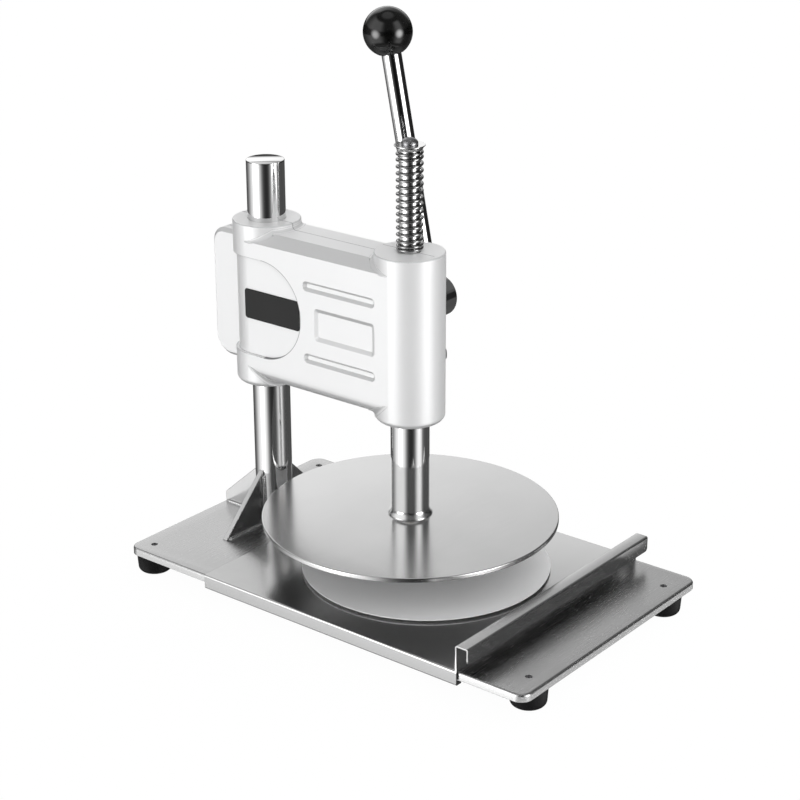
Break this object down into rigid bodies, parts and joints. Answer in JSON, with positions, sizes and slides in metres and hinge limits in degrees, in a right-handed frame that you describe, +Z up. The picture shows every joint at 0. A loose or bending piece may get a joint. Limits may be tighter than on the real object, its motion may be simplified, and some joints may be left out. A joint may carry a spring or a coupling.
{
  "type": "hand lever dough press",
  "caption": "Hand lever press: a rack and pinion head on a pillar pushes a round plate down onto a disc on a slide-out tray; a coil spring lifts it again.",
  "frame": {"origin": "on the floor, under the middle of the base sheet", "axes": "+Z up, -Y towards the user and the tray's handle, +X to the lever side"},
  "size_m": [0.244, 0.4036, 0.4582],
  "materials": {
    "base_steel": "brushed stainless sheet",
    "black_rubber": "black rubber, slightly glossy",
    "screw_steel": "plain steel",
    "pillar_chrome": "polished steel bar",
    "gusset_steel": "polished steel plate",
    "white_paint": "glossy white paint on cast aluminium",
    "label_black": "satin black, bare",
    "bush_bronze": "turned bronze",
    "stop_rubber": "hard rubber",
    "spring_steel": "bright spring steel",
    "shaft_chrome": "polished steel",
    "gear_steel": "cut steel gear",
    "washer_nylon": "plain nylon",
    "knob_black": "glossy black moulded plastic",
    "press_steel": "brushed steel plate",
    "tray_steel": "polished stainless sheet",
    "disc_steel": "brushed steel plate"
  },
  "bodies": {
    "base": {"base_plate": "base_steel", "base_stiffener": "base_steel", "rubber_feet": "black_rubber", "foot_screws": "screw_steel", "foot_nuts": "screw_steel", "pillar": "pillar_chrome", "pillar_bolt": "screw_steel", "pillar_washer": "screw_steel", "gusset_left": "gusset_steel", "gusset_right": "gusset_steel", "gusset_rear": "gusset_steel"},
    "head": {"head_shell_left": "white_paint", "head_shell_right": "white_paint", "label_plate": "label_black", "shell_screws": "screw_steel", "dowel_pins": "screw_steel", "clamp_bolts": "screw_steel", "clamp_washers": "screw_steel", "grease_screw": "screw_steel", "lower_guide_bush": "bush_bronze", "upper_guide_bush": "bush_bronze", "stop_ring": "stop_rubber", "crank_bush_left": "bush_bronze", "crank_bush_right": "bush_bronze", "return_spring": "spring_steel"},
    "crank": {"crank_shaft": "shaft_chrome", "drive_pinion": "gear_steel", "pinion_key": "gear_steel", "thrust_rings": "bush_bronze", "thrust_washer": "washer_nylon", "lever_hub": "shaft_chrome", "lever_rod": "shaft_chrome", "lever_knob": "knob_black"},
    "press": {"press_shaft": "shaft_chrome", "foot_ring": "press_steel", "press_plate": "press_steel", "plate_screws": "screw_steel", "spring_cap": "spring_steel", "cap_screw": "screw_steel"},
    "tray": {"tray": "tray_steel", "tray_disc": "disc_steel", "disc_rivets": "screw_steel"}
  },
  "joints": [
    {"name": "head_height", "type": "slide", "parent": "base", "child": "head", "axis": [0, 0, 1], "range_m": [0, 0.04]},
    {"name": "lever_swing", "type": "hinge", "parent": "head", "child": "crank", "pos_m": [0.0664, 0.0286, 0.2262], "axis": [1, 0, 0], "range_deg": [0, 104.8]},
    {"name": "press_slide", "type": "slide", "parent": "head", "child": "press", "axis": [0, 0, 1], "range_m": [-0.0366, 0], "stiffness_N_per_m": 2500, "springref_m": 0.02, "deforming": ["return_spring"]},
    {"name": "tray_slide", "type": "slide", "parent": "base", "child": "tray", "axis": [0, 1, 0], "range_m": [-0.15, 0.017]}
  ],
  "couplings": [
    {"joint": "press_slide", "follows": "lever_swing", "m_per_rad": -0.02}
  ]
}
